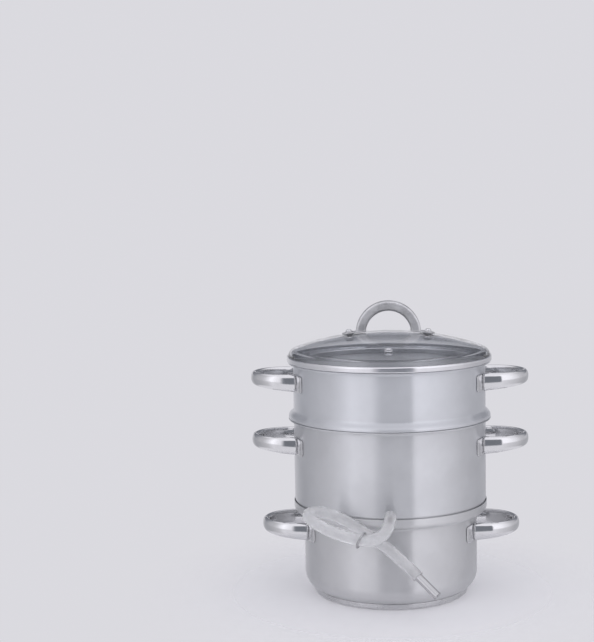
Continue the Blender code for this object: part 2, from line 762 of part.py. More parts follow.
def arch_rings():
    """Gives the sections of the arch. Its two end sections lie in the planes of the tabs."""
    radius = arch_radius - arch_thickness / 2
    middle = Vector((0, 0, glass_top + arch_height - arch_radius))
    tilt = math.asin(stud_place / dome_radius)
    normal = Vector((math.sin(tilt), 0, math.cos(tilt)))
    point = Vector((stud_place, 0, dome_height(stud_place))) + normal * (tab_bottom + tab_top) / 2
    foot = point.z + (point.x - radius) * math.tan(tilt)
    start = math.asin(min(max(foot - middle.z, 0) / radius, 1))
    pairs = section(arch_thickness, arch_depth, arch_roundness, 12)
    rings = []
    count = 15
    for i in range(count):
        angle = start + (math.pi - 2 * start) * i / (count - 1)
        outward = Vector((math.cos(angle), 0, math.sin(angle)))
        rings.append([middle + outward * (radius + across) + Vector((0, depth, 0))
                      for across, depth in pairs])
    for index in (0, -1):
        rings[index] = [Vector((p.x, p.y, point.z + (point.x - abs(p.x)) * math.tan(tilt)))
                        for p in rings[index]]
    return rings


def add_arch(tier):
    """The arch ends in two tabs, which lie over the glass and are bolted through it."""
    arch = add_piece("lid_handle_arch", loft_mesh("lid_handle_arch", arch_rings()), tier, brushed_steel)
    for side, place in (("right", stud_place), ("left", -stud_place)):
        sign = math.copysign(1, place)
        outline = [(-sign * tab_length, -tab_half_width)]
        for i in range(9):
            angle = math.radians(-90 + 180 * i / 8)
            outline.append((sign * tab_half_width * math.cos(angle), tab_half_width * math.sin(angle)))
        outline.append((-sign * tab_length, tab_half_width))
        low = [Vector((x, y, tab_bottom)) for x, y in outline]
        high = [Vector((x, y, tab_top)) for x, y in outline]
        tab = add_cutter(f"lid_tab_{side}", loft_mesh(f"lid_tab_{side}", [low, high]))
        place_on_dome(tab, place)
        cut(arch, tab, "UNION")
    for side, place in (("right", stud_place), ("left", -stud_place)):
        hole = add_cutter(f"tab_hole_{side}", rod_mesh(f"tab_hole_{side}", bolt_hole_radius,
                                                       2 * (tab_top + overrun), small_steps))
        place_on_dome(hole, place)
        cut(arch, hole)


clear_scene()
juicer = new_collection("steam_juicer")
cutters = new_collection("cutters")

satin_steel = ((0.62, 0.62, 0.63), 0.30, 1.0)
polished_steel = ((0.70, 0.70, 0.71), 0.12, 1.0)
brushed_steel = ((0.55, 0.55, 0.56), 0.35, 1.0)
dark_steel = ((0.30, 0.30, 0.31), 0.30, 1.0)
aluminium = ((0.75, 0.75, 0.76), 0.45, 1.0)
silicone = ((0.86, 0.88, 0.89), 0.35, 0.0)
glass_looks = ((0.45, 0.48, 0.49), 0.05, 0.0)

build_water_pan()
build_kettle()
build_basket()
build_lid()
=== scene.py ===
# %% [markdown]
# # A three-tier steam juicer
#
# Water boils in the pan at the bottom. Its steam rises through a cone into the fruit basket at the
# top, the juice drips into the kettle in the middle, and it leaves by a spout and a silicone hose.
# Nearly all of it is thin stainless steel, under a lid of glass.
#
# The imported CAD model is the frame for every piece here: metres, +Z up along the axis of the tiers,
# the hose in front at -Y. Its solids have few facets. This lesson turns them again with many, rounds
# the edges of the sheets, and then works on how steel, glass and silicone take the light.

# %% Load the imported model
import bpy
import bmesh
import math
from mathutils import Matrix, Vector


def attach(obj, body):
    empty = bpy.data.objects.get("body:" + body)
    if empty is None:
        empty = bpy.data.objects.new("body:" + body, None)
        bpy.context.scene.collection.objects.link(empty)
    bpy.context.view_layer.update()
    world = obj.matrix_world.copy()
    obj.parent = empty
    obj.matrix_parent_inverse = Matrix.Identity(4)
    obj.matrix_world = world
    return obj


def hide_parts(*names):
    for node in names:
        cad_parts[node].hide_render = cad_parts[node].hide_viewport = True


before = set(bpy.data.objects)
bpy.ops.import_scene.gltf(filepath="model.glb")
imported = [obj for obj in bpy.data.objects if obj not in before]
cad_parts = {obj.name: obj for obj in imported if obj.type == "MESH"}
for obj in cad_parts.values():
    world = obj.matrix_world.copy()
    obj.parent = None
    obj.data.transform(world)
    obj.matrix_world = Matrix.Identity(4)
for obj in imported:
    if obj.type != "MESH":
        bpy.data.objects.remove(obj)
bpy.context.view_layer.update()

# %% [markdown]
# ## The camera
#
# A long lens took the picture from 1.7 m away and half a metre up, so the tiers look like flat
# stacked rings. The camera's place, its focal length in pixels and its three angles were fitted to
# the rims. It looks down at first, as every Blender camera does, and is then raised and turned.

# %% Place the camera
mm = 0.001
frame_width_px = 594
focal_px = 1392.5113
sensor_mm = 36
eye = Vector((0, -1733.4252, 518.9086)) * mm
yaw, pitch, roll = -0.06576, 0.1014, -0.0176


def in_mm(*sizes):
    return [size * mm for size in sizes]


def placed(name, data):
    """Adds an object to the scene."""
    made = bpy.data.objects.new(name, data)
    bpy.context.scene.collection.objects.link(made)
    return made


lens = bpy.data.cameras.new("camera")
lens.sensor_fit = "HORIZONTAL"
lens.sensor_width = sensor_mm
lens.lens = focal_px / frame_width_px * sensor_mm
camera = placed("camera", lens)
turn_left, look_down = Matrix.Rotation(-yaw, 4, "Z"), Matrix.Rotation(math.pi / 2 - pitch, 4, "X")
camera.matrix_world = Matrix.Translation(eye) @ turn_left @ look_down @ Matrix.Rotation(roll, 4, "Z")
bpy.context.scene.camera = camera
bpy.context.scene.view_settings.view_transform = "Standard"
print("camera at", tuple(eye), "with a lens of", round(lens.lens, 1), "mm")

# %% [markdown]
# ## Shader maths in plain Python
#
# Brushed steel, smudges and haze are sums and products of noises, and in the node editor each plus
# sign is a box with two wires. The class below wraps one output socket, so that `0.3 + grain * 0.1`
# builds its Math nodes by itself. Any other node comes from `Look.node`, which takes the node's
# settings and then the values or wires of its sockets.

# %% Wires and looks
class Wire:
    """An output socket that works in Python sums and adds the Math nodes that they need."""

    def __init__(self, look, socket):
        self.look = look
        self.socket = socket

    def math(self, operation, *values):
        return self.look.node("Math", {"operation": operation}, values)

    __add__ = __radd__ = lambda self, other: self.math("ADD", self, other)
    __sub__ = lambda self, other: self.math("SUBTRACT", self, other)
    __rsub__ = lambda self, other: self.math("SUBTRACT", other, self)
    __mul__ = __rmul__ = lambda self, other: self.math("MULTIPLY", self, other)
    __truediv__ = lambda self, other: self.math("DIVIDE", self, other)
    __pow__ = lambda self, other: self.math("POWER", self, other)
    __neg__ = lambda self: self * -1

    def between(self, low, high):
        """Runs smoothly from 0 where this value is low to 1 where it is high."""
        settings = {"interpolation_type": "SMOOTHSTEP"}
        return self.look.node("MapRange", settings, {"Value": self, "From Min": low, "From Max": high})


class Look:
    """A material, or the world, that is built from nodes."""

    def __init__(self, name, owner=None):
        self.owner = owner or bpy.data.materials.new(name)
        self.owner.use_nodes = True
        self.tree = self.owner.node_tree
        self.shader = self.tree.nodes.get("Principled BSDF")

    def node(self, kind, settings=None, sockets=(), output=0):
        """Adds a node: its settings, then its sockets' values or wires, by name or in order."""
        made = self.tree.nodes.new("ShaderNode" + kind)
        for key, value in (settings or {}).items():
            setattr(made, key, value)
        pairs = sockets.items() if isinstance(sockets, dict) else enumerate(sockets)
        for key, value in pairs:
            self.feed(made.inputs[key], value)
        return Wire(self, made.outputs[output])

    def ramp(self, degrees, stops):
        """Gives a grey by an angle from -180 to 180, from (angle, grey) stops."""
        made = self.node("ValToRGB", None, (degrees / 360 + 0.5,))
        elements = made.socket.node.color_ramp.elements
        while len(elements) < len(stops):
            elements.new(1)
        for element, (angle, grey) in zip(elements, stops):
            element.position, element.color = angle / 360 + 0.5, (grey, grey, grey, 1)
        return made

    def feed(self, socket, value):
        if isinstance(value, Wire):
            self.tree.links.new(value.socket, socket)
        else:
            socket.default_value = value

    def feed_output(self, name, value):
        self.feed(self.tree.nodes["Material Output"].inputs[name], value)

    def set(self, **sockets):
        """Sets or wires the main shader's sockets; an underscore stands for a space."""
        for name, value in sockets.items():
            self.feed(self.shader.inputs[name.replace("_", " ")], value)

    def place(self, output="Object"):
        """Gives a point's place, as one wire and as its x, y and z."""
        whole = self.node("TexCoord", output=output)
        parts = self.node("SeparateXYZ", None, (whole,)).socket.node
        return whole, *(Wire(self, part) for part in parts.outputs)

    def noise(self, vector, scale, detail=2.0, rough=0.5):
        sockets = {"Vector": vector, "Scale": scale, "Detail": detail, "Roughness": rough}
        return self.node("TexNoise", None, sockets)

    def mix_colors(self, share, first, second):
        """Mixes two colours by a wire or number from 0 to 1."""
        made = self.tree.nodes.new("ShaderNodeMix")
        made.data_type = "RGBA"
        for index, value in ((0, share), (6, first), (7, second)):
            self.feed(made.inputs[index], (*value, 1) if isinstance(value, tuple) else value)
        return Wire(self, made.outputs[2])

    def bump(self, height, distance):
        self.set(Normal=self.node("Bump", None, {"Height": height, "Distance": distance}))


# %% [markdown]
# ## Satin steel
#
# The walls are brushed on a turning pot, so the scratches run round it. Light spreads up and down,
# across the scratches, and hardly sideways, which gives the walls their upright bands. Cycles makes
# that spread from the shader's anisotropy. Where no tangent is wired, the tangent runs round the Z
# axis, and a quarter turn of the anisotropy stands the spread upright. Noise that is stretched along
# the scratches varies the roughness and raises a very shallow relief, and a wide cloudy noise stands
# for handling marks.
#
# Metallic stays under 1, because scratches also scatter light, which softens the bands. The tiers
# were brushed apart, so each has its own tone. A piece may also say where it faces inwards: there a
# brighter colour is painted in, as painted light for the light that goes to and fro between its walls,
# and the steel is rougher and more metallic.

# %% Satin and polished steel
scratch_pitch, around_pitch, smudge_size = in_mm(0.25, 30, 45)
# The near-white second colour is painted light: a brighter tone painted where steel faces inwards, for the
# light that bounces between its walls.
steel_color, painted_bounce_light_color, floor_color = (0.63, 0.637, 0.655), (0.93, 0.94, 0.96), (0.62, 0.63, 0.645)
wall_metal = 0.76


def scratches(look):
    """Gives noise in lines that run round the Z axis, on walls and on floors alike."""
    _, x, y, z = look.place()
    radius = (x * x + y * y) ** 0.5
    lines = (x / around_pitch, y / around_pitch, (z + radius) / scratch_pitch)
    return look.noise(look.node("CombineXYZ", None, lines), 1, 3, 0.6)


def smudges(look, size=smudge_size):
    """Gives soft clouds, where steel was wiped or touched."""
    return look.noise(look.place()[0], 1 / size, 3, 0.55)


def turned_steel(name, color, roughness=0.32, spread=1.0, relief=0.003 * mm, inside=None):
    """Makes steel brushed round the Z axis, with painted light: brighter where `inside` says it faces
    inwards, and a darker tone on its floor.
    """
    look = Look(name)
    lines, clouds = scratches(look), smudges(look)
    dull = tuple(c * 0.93 for c in color)
    shade = look.mix_colors(clouds.between(0.35, 0.7), dull, color)
    rough = roughness + (lines - 0.5) * 0.06 + (clouds - 0.5) * 0.08
    metal = wall_metal
    if inside:
        within, on_floor = inside(look)
        # Painted light: the inner walls are painted brighter for bounced light, and the floor takes its
        # darker tone.
        shade = look.mix_colors(within, shade, painted_bounce_light_color)
        shade = look.mix_colors(on_floor, shade, floor_color)
        rough, metal = rough + within * 0.15, wall_metal + within * 0.18
    look.set(Base_Color=shade, Metallic=metal, Roughness=rough,
             Anisotropic=spread, Anisotropic_Rotation=0.25)
    look.bump(lines, relief)
    return look.owner


def polished_steel(name, color, roughness, speckle=0.05):
    """Makes bright steel with wiping marks and faint hairlines in all directions."""
    look = Look(name)
    whole = look.place()[0]
    clouds, hairs = smudges(look, 18 * mm), look.noise(whole, 1 / (0.9 * mm), 4, 0.7)
    dull = tuple(c * (1 - speckle) for c in color)
    marks = (clouds + hairs) / 2
    look.set(Base_Color=look.mix_colors(marks.between(0.4, 0.6), dull, color),
             Metallic=1, Roughness=roughness + (clouds - 0.5) * 0.10 + (hairs - 0.5) * speckle)
    look.bump(look.noise(whole, 1 / (7 * mm)), 0.05 * mm)
    return look.owner


satin = turned_steel("satin_wall", steel_color)
satin_pan = turned_steel("satin_pan", (0.63, 0.632, 0.643))
inside_satin = turned_steel("satin_inside", (0.60, 0.605, 0.62), 0.30, 0.9)
base_steel = turned_steel("satin_base", (0.60, 0.60, 0.61), 0.28, 0.8, 0.004 * mm)
polished = polished_steel("polished_handles", (0.66, 0.66, 0.67), 0.10)
rim_steel = polished_steel("polished_rims", (0.74, 0.74, 0.76), 0.16)
print("steels", [m.name for m in (satin, satin_pan, inside_satin, base_steel, polished, rim_steel)])

# %% [markdown]
# ## Turning an outline
#
# A pot is one outline turned round an axis. A short loop writes its rings of points and the faces
# between them. Unlike the Screw modifier, it keeps a point on the axis single, which suits the cuts
# below. A sheet's outline comes from its outer line alone: the inner line lies one thickness away,
# and a half circle closes the cut edge, where the light catches. Smooth shading bends the light over
# a whole face, so long straight runs get a second point near each end.

# %% Outlines and turned meshes
steel = 0.8 * mm
turn_steps, small_steps = 192, 48
on_axis = 1e-7
long_run, hold = 3 * mm, 0.6 * mm


def even(start, end, spans):
    """Gives evenly spaced values from start to end, both included."""
    return [start + (end - start) * i / spans for i in range(spans + 1)]


def circle(steps, start=0):
    """Gives even turns round a circle."""
    return [start + turn for turn in even(0, 2 * math.pi, steps)[:-1]]


def around(radius, turn, height=0):
    """Gives the point at a radius, a turn and a height."""
    return radius * math.cos(turn), radius * math.sin(turn), height


def arc(middle_radius, middle_height, bend, start_degrees, end_degrees, spans=8):
    """Gives the points of a bend, with both its ends."""
    turns = even(math.radians(start_degrees), math.radians(end_degrees), spans)
    return [(middle_radius + bend * math.cos(t), middle_height + bend * math.sin(t)) for t in turns]


def half_circle(start, end, spans=6):
    """Gives the points between start and end, on a half circle to the left of the way there."""
    start, end = Vector(start), Vector(end)
    middle, reach = (start + end) / 2, (start - end) / 2
    side = Vector((reach.y, -reach.x))
    return [middle + reach * math.cos(t) + side * math.sin(t) for t in even(0, math.pi, spans)[1:-1]]


def held_line(line):
    """Drops repeated points, and adds some near the ends of long straight runs."""
    held = [Vector(line[0])]
    for end in map(Vector, line[1:]):
        along = end - held[-1]
        if along.length > long_run:
            step = along.normalized() * hold
            held += [held[-1] + step, end - step]
        if along.length > on_axis:
            held.append(end)
    return held


def inner_line(line, thickness):
    """Moves a line by the sheet's thickness to the right of its direction."""
    alongs = [(Vector(end) - Vector(start)).normalized() for start, end in zip(line, line[1:])]
    sides = [Vector((along.y, -along.x)) for along in alongs]
    return [Vector(point) + (before + after) * thickness / (1 + before.dot(after))
            for point, before, after in zip(line, sides[:1] + sides, sides + sides[-1:])]


def sheet_outline(line):
    """Closes a sheet: out along its outer side, back along its inner side, with round edges."""
    outer = held_line(line)
    inner = inner_line(outer, steel)
    edge = half_circle(outer[-1], inner[-1]) if outer[-1].x > on_axis else []
    return outer + edge + inner[::-1] + half_circle(inner[0], outer[0])


def make_mesh(points, faces):
    mesh = bpy.data.meshes.new("mesh")
    mesh.from_pydata(points, [], faces)
    shape = bmesh.new()
    shape.from_mesh(mesh)
    bmesh.ops.recalc_face_normals(shape, faces=shape.faces)
    shape.to_mesh(mesh)
    shape.free()
    mesh.shade_smooth()
    return mesh


def turned(outline, steps=small_steps):
    """Turns a closed outline of (radius, height) pairs round the Z axis."""
    points, rows, faces = [], [], []
    for radius, height in outline:
        first = len(points)
        if radius < on_axis:
            rows.append([first] * steps)
            points.append((0, 0, height))
        else:
            rows.append(list(range(first, first + steps)))
            points += [around(radius, t, height) for t in circle(steps)]
    for row, next_row in zip(rows, rows[1:] + rows[:1]):
        for k in range(steps):
            n = (k + 1) % steps
            corners = list(dict.fromkeys((row[k], next_row[k], next_row[n], row[n])))
            if len(corners) > 2:
                faces.append(corners)
    return make_mesh(points, faces)


def turned_sheet(line):
    return turned(sheet_outline(line), turn_steps)


def moved(mesh, matrix):
    """Moves a mesh and gives it back."""
    mesh.transform(matrix)
    return mesh


def add_piece(name, mesh, body, look, node, slot="polished_steel"):
    """Adds a piece that rides on a body, takes the given look and stands for a CAD node, which it hides. The
    slot is not used.
    """
    mesh.name = name
    piece = placed(name, mesh)
    mesh.materials.append(look)
    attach(piece, body)
    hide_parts(node)
    print(f"{name}: {len(mesh.polygons)} faces on {body}")
    return piece


# %% [markdown]
# ## The hose, its clip and its end pipe
#
# The hose is a silicone tube, 14 mm outside and 10 mm inside, 323 mm long. It sits on the spout,
# falls, turns left into a loop that leans on the kettle, comes back under itself and ends in a short
# steel pipe. The route's points are those of the CAD model, smoothed as there, with a Catmull-Rom
# curve run through them. The tube's rings are carried from point to point without twisting.

# %% The hose's route
kettle_radius = 120 * mm
hose_route_mm = [
    (0, -142, 122.5), (-0.5, -151, 120), (-2.5, -160.5, 113.5), (-8.5, -168.5, 107.5), (-18, -174.5, 105),
    (-29, -177.5, 105.5), (-41, -178.5, 108.5), (-53.5, -178, 112.2), (-66.2, -176.6, 116.8),
    (-80.2, -173.4, 122.7), (-91.4, -164.3, 127), (-97.5, -151.2, 129.2), (-97.5, -138, 130.1),
    (-91.4, -124.9, 129.5), (-80.2, -115.8, 126.6), (-66.2, -113, 121.7), (-53.7, -116.8, 116.5),
    (-41.8, -122.2, 110.5), (-30.3, -126, 103.5), (-19, -128.5, 96.2), (-8.5, -130, 89.2),
    (1.6, -130.4, 81.6), (11.2, -131.6, 73.1), (20.3, -133.9, 64.7), (25.1, -135.5, 60.1),
]
pipe_direction = Vector((0.693, -0.355, -0.628)).normalized()
spout_height = 122.5 * mm
hose_start, hose_step = 5 * mm, 14 * mm
hose_radius, hose_bore, hose_edge = in_mm(7, 5, 0.5)
pipe_sleeve, pipe_length = 10 * mm, 41 * mm


def curve_between(points, steps):
    """Runs a Catmull-Rom curve through points, with so many steps from one to the next."""
    ends = [points[0] * 2 - points[1]] + points + [points[-1] * 2 - points[-2]]
    curve = []
    for before, start, end, after in zip(ends, ends[1:], ends[2:], ends[3:]):
        bend = before - start * 2.5 + end * 2 - after / 2
        swing = (start - end) * 1.5 + (after - before) / 2
        for t in even(0, 1, steps)[:-1]:
            curve.append(start + (end - before) / 2 * t + bend * t ** 2 + swing * t ** 3)
    return curve + [points[-1]]


def even_points(points, step):
    """Spreads points evenly along a chain, near the wanted step."""
    lengths = [(b - a).length for a, b in zip(points, points[1:])]
    count = round(sum(lengths) / step)
    result, walked, index = [points[0]], 0, 0
    for k in range(1, count):
        target = sum(lengths) * k / count
        while walked + lengths[index] < target:
            walked += lengths[index]
            index += 1
        result.append(points[index].lerp(points[index + 1], (target - walked) / lengths[index]))
    return result + [points[-1]]


def hose_points():
    """Gives the 25 points of the CAD hose: on the spout, along the free loop and on the pipe."""
    knots = [Vector(point) * mm for point in hose_route_mm]
    ends = [knots[0] * 2 - knots[1]] + knots + [knots[-1] + pipe_direction * hose_step]
    dense = curve_between(ends, 12)[12:-12]
    free = even_points(dense, hose_step)
    for _ in range(2):
        middles = [(a + b * 2 + c) / 4 for a, b, c in zip(free, free[1:], free[2:])]
        free = [free[0]] + middles + [free[-1]]
    start = Vector((0, -kettle_radius - hose_start, spout_height))
    return [start] + free + [knots[-1] + pipe_direction * pipe_sleeve]


cad_route = hose_points()
hose_line = curve_between(cad_route, 6)
hose_length = sum((b - a).length for a, b in zip(hose_line, hose_line[1:]))
print(f"hose: {len(hose_line)} points, {hose_length / mm:.1f} mm")

# %% Sweeping rings along a line
def carried_frames(line):
    """Gives two axes across the line at each point, carried along it without a twist."""
    across = (line[1] - line[0]).cross(Vector((0, 0, 1))).normalized()
    frames = []
    for i, point in enumerate(line):
        along = (line[min(i + 1, len(line) - 1)] - line[max(i - 1, 0)]).normalized()
        across = (across - along * across.dot(along)).normalized()
        frames.append((across, along.cross(across), along))
    return frames


def skinned(rings, ends="closed"):
    """Skins rings of equal counts. The ends are closed by faces, or joined to each other."""
    points = [tuple(p) for ring in rings for p in ring]
    count, faces = len(rings[0]), []
    last = len(rings) if ends == "joined" else len(rings) - 1
    for r in range(last):
        a, b = r * count, (r + 1) % len(rings) * count
        faces += [(a + i, a + (i + 1) % count, b + (i + 1) % count, b + i) for i in range(count)]
    if ends == "closed":
        faces += [tuple(range(count)), tuple(range(len(points) - count, len(points)))]
    return make_mesh(points, faces)


def swept(line, stations, steps=32, ends="closed"):
    """Skins rings on a line. A station is a point's index, a shift along the line and a radius."""
    frames, rings = carried_frames(line), []
    for index, shift, radius in stations:
        across, up, along = frames[index]
        middle = line[index] + along * shift
        rings.append([middle + (across * math.cos(t) + up * math.sin(t)) * radius for t in circle(steps)])
    return skinned(rings, ends)


def tube_side(line, edge, radius):
    last = len(line) - 1
    return [(0, edge, radius)] + [(i, 0, radius) for i in range(1, last)] + [(last, -edge, radius)]


def hollow_tube(line, radius, bore, edge):
    """Makes a tube with a bore and rounded ends along a line."""
    middle, half = (radius + bore) / 2, (radius - bore) / 2
    lip = [(edge * inset, middle + half * size) for inset, size in
           ((0.45, 0.95), (0.15, 0.75), (0, 0.4), (0, -0.4), (0.15, -0.75), (0.45, -0.95))]
    end = [(-1, -shift, size) for shift, size in lip]
    start = [(0, shift, size) for shift, size in lip[::-1]]
    outside, inside = (tube_side(line, edge, size) for size in (radius, bore))
    return swept(line, outside + end + inside[::-1] + start, ends="joined")


# %% [markdown]
# Silicone is never quite clear. It bends light much like glass and is a little milky all through. The
# shader is a clear one that is slightly hazy, mixed with a white that scatters light and lets some
# through, as thin skin does. The seals under the bolts are nearly all white.

# %% Silicone
hose_tint, seal_tint, cloud_tint = (0.96, 0.965, 0.97), (0.88, 0.90, 0.91), (0.97, 0.975, 0.98)
white = {"Color": (0.96, 0.96, 0.965, 1)}
hose_milk, seal_milk = 0.30, 0.9


def silicone_look(name, tint, milk):
    look = Look(name)
    whole = look.place()[0]
    haze = look.noise(whole, 1 / (6 * mm), 3, 0.6)
    look.set(Base_Color=look.mix_colors(haze, tint, cloud_tint), Roughness=0.08 + haze * 0.12,
             IOR=1.41, Transmission_Weight=1)
    look.bump(look.noise(whole, 1 / (1.5 * mm)), 0.02 * mm)
    milky, matt = (look.node(kind, None, white) for kind in ("BsdfTranslucent", "BsdfDiffuse"))
    body = look.node("MixShader", None, (0.6, milky, matt))
    clear = Wire(look, look.shader.outputs[0])
    look.feed_output("Surface", look.node("MixShader", None, (milk + (haze - 0.5) * 0.1, clear, body)))
    return look.owner


hose_silicone = silicone_look("clear_silicone_hose", hose_tint, hose_milk)
seal_silicone = silicone_look("clear_silicone_seal", seal_tint, seal_milk)
hose = add_piece("hose", hollow_tube(hose_line, hose_radius, hose_bore, hose_edge), "juice_kettle",
                 hose_silicone, "juice_hose", "clear_silicone")

# %% [markdown]
# The end pipe is a thin steel tube with a lightly flared mouth, pushed 10 mm into the hose. It is
# turned about the Z axis like a pot and then laid along the hose's last direction.

# %% The end pipe
spout_radius, pipe_radius, pipe_wall = in_mm(4.5, 4.9, 0.56)
flare, flare_length = 0.3 * mm, 1.2 * mm
flare_shares = (0, 0.1, 0.3, 0.6, 1)


def aimed(place, direction):
    """Gives the matrix that lays the Z axis along a direction, with its zero at a place."""
    return Matrix.Translation(place) @ direction.to_track_quat("Z", "Y").to_matrix().to_4x4()


def pipe_outline():
    mouth = [(pipe_radius + flare * s, -flare_length * (1 - s) ** 0.6) for s in flare_shares]
    outer = held_line([(pipe_radius, -pipe_length)] + mouth)
    inner = [Vector((radius - pipe_wall, height)) for radius, height in outer]
    return outer + half_circle(outer[-1], inner[-1]) + inner[::-1]


pipe_end = cad_route[-1] + pipe_direction * (pipe_length - pipe_sleeve)
pipe_steel = polished_steel("polished_pipe", (0.50, 0.50, 0.51), 0.16)
end_pipe = add_piece("hose_pipe", moved(turned(pipe_outline()), aimed(pipe_end, pipe_direction)),
                     "juice_kettle", pipe_steel, "hose_end_pipe")

# %% [markdown]
# The clip is a loose ring of round spring wire, open at the back. It leans and is turned a little, so
# that it shows as a short slanting arc.

# %% The wire clip
clip_place, clip_wire, clip_slack = in_mm(73, 1.2, 1.4)
clip_opening, clip_lean, clip_turn = math.radians(75), math.radians(-16), math.radians(-22)


def clip_line():
    """Gives the clip's middle line, flat in the XY plane, open on its -X side."""
    radius = hose_radius + clip_slack + clip_wire
    turns = even(math.pi + clip_opening / 2, 3 * math.pi - clip_opening / 2, 48)
    return [Vector(around(radius, t)) for t in turns]


def clip_matrix():
    """Finds the clip's place along the hose, and leans it over a little."""
    walked = 0
    for start, end in zip(cad_route, cad_route[1:]):
        walked += (end - start).length
        if walked > clip_place:
            break
    along = (end - start).normalized()
    lean = Matrix.Rotation(clip_lean, 4, "X") @ Matrix.Rotation(clip_turn, 4, "Y")
    return aimed(end - along * (walked - clip_place), along) @ lean


def wire_mesh(line, radius):
    """Makes a round wire with rounded ends."""
    caps = [(radius * math.sin(t), radius * max(math.cos(t), 0.05)) for t in (0.5, 1.0, 1.35, 1.5)]
    start = [(0, -shift, size) for shift, size in caps[::-1]]
    end = [(-1, shift, size) for shift, size in caps]
    return swept(line, start + tube_side(line, 0, radius) + end, 16)


wire_look = polished_steel("spring_wire", (0.42, 0.42, 0.43), 0.22)
clip = add_piece("hose_clip_wire", moved(wire_mesh(clip_line(), clip_wire), clip_matrix()),
                 "juice_kettle", wire_look, "hose_clip", "spring_wire")

# %% [markdown]
# ## The water pan
#
# The pan is drawn from one sheet. Its rim is an upright collar that the kettle stands in, then comes
# a rounded ledge, a neck and the wall, which bends into the floor. A pressed cap holds a disc of
# aluminium under the floor, because steel alone spreads heat badly. The thin dark line near the foot
# of the pan in the photograph is the gap between that cap and the pan.

# %% The pan's and the cap's outlines
seat_gap = 0.3 * mm
pan_height, collar_height = 117.2 * mm, 7 * mm
ledge_bend, ledge_flat, neck_bend = in_mm(5.5, 2.1, 5)
pan_corner_bend = 21.5 * mm
core_thickness, base_inset, base_cap_bend = in_mm(4.1, 11.7, 2.8)
rim_radius = kettle_radius + seat_gap + steel
pan_radius = rim_radius - ledge_bend - ledge_flat - neck_bend
base_radius = pan_radius - base_inset
pan_floor = steel + seat_gap + core_thickness + seat_gap
collar_bottom = pan_height - collar_height
ledge_height = collar_bottom - ledge_bend


def pan_line():
    """Gives the pan's outer side, from its lip down to the middle of its floor."""
    ledge = arc(rim_radius - ledge_bend, collar_bottom, ledge_bend, 0, -90)
    neck = arc(pan_radius + neck_bend, ledge_height - neck_bend, neck_bend, 90, 180)
    corner_radius = pan_radius - pan_corner_bend
    corner = arc(corner_radius, pan_floor + pan_corner_bend, pan_corner_bend, 0, -90, 16)
    return [(rim_radius, pan_height - steel / 2)] + ledge + neck + corner + [(0, pan_floor)]


def cap_line():
    reach = base_radius - steel / 2 - (pan_radius - pan_corner_bend)
    top = pan_floor + pan_corner_bend - math.sqrt(pan_corner_bend ** 2 - reach ** 2) - seat_gap / 2
    corner = arc(base_radius - base_cap_bend, base_cap_bend, base_cap_bend, 0, -90)
    return [(base_radius, top - steel / 2)] + corner + [(0, 0)]


add_piece("pan_shell", turned_sheet(pan_line()), "water_pan", satin_pan, "water_pan_body", "satin_steel")
add_piece("base_shell", turned_sheet(cap_line()), "water_pan", base_steel, "base_cap", "satin_steel")
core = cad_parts["base_core_disc"]
core.data.materials.clear()
core.data.materials.append(turned_steel("cast_aluminium", (0.75, 0.75, 0.76), 0.4, 0.2, 0.02 * mm))

# %% [markdown]
# ## The juice kettle
#
# The kettle's wall ends in a turned-out rim above and a small rounded seat below, which stands on
# the pan's ledge. Its floor climbs from a gutter at the wall to a flat ring round the steam hole, so
# that the juice runs to the spout. The cone over the hole is a sheet of its own.
#
# Two dark lines run round the pots in the photograph, where one tier stands in the next. Shadows
# need something to hide in: the edge of each turned-out rim curls down, and the kettle is drawn in
# to a shallow groove just above the pan's collar.

# %% The kettle's and the cone's outlines
kettle_height, lip_bend, lip_flat = in_mm(104.8, 4.5, 1.6)
rim_curl, seat_groove = 1.7 * mm, 0.9 * mm
groove_heights = in_mm(2.2, 0.8, -1.5, -3)
gutter_width, floor_rise = 11.6 * mm, 9 * mm
cone_hole, cone_pad, cone_flange, cone_mouth, cone_gap = in_mm(44, 14, 10, 17, 13.6)
basket_nest, basket_height, nest_gap = in_mm(38, 70.2, 0.8)
lip_radius = kettle_radius + lip_bend + lip_flat
kettle_rim = pan_height + kettle_height
kettle_inside = kettle_radius - steel
kettle_corner_bend = ledge_bend - steel - seat_gap
kettle_floor = collar_bottom - kettle_corner_bend
basket_seat = kettle_rim + seat_gap
basket_floor = basket_seat - basket_nest
cone_foot = kettle_floor + floor_rise + steel + seat_gap + steel


def turned_out_rim(rim_height):
    """Gives the underside of a turned-out rim, whose edge curls down, and the bend to the wall."""
    under = rim_height - steel
    bend = arc(kettle_radius + lip_bend, under - lip_bend, lip_bend, 90, 180)
    curl = arc(kettle_radius + lip_bend, under - rim_curl, rim_curl, 40, 90, 4)
    return curl[:-1] + bend


def kettle_line():
    seat = arc(rim_radius - ledge_bend, collar_bottom, kettle_corner_bend, 0, -90)
    gutter = (rim_radius - ledge_bend - gutter_width, kettle_floor)
    pad = kettle_floor + floor_rise
    groove = [(kettle_radius - seat_groove * depth, pan_height + height)
              for depth, height in zip((0, 1, 1, 0), groove_heights)]
    floor_line = [gutter, (cone_hole + cone_pad, pad), (cone_hole + steel / 2, pad)]
    return turned_out_rim(kettle_rim) + groove + seat + floor_line


def cone_line():
    top = basket_floor - cone_gap
    return [(cone_mouth, top - steel / 2), (cone_hole - 2 * steel, cone_foot + steel),
            (cone_hole, cone_foot), (cone_hole + cone_flange - steel / 2, cone_foot)]


# %% [markdown]
# Holes are cut with the Boolean modifier: a second object is subtracted, the result is kept as a
# mesh of its own, and both helpers are thrown away. The cut's edges are marked sharp, or the smooth
# shading would draw streaks from them.

# %% Cutting holes
cutter_length = 16 * mm
sharp_angle = math.radians(50)
spout_reach, spout_flange = 22 * mm, 7.5 * mm
bead_height, bead_length, bead_inset = in_mm(0.25, 2, 1)
cad_wall_half_side = math.pi / 36


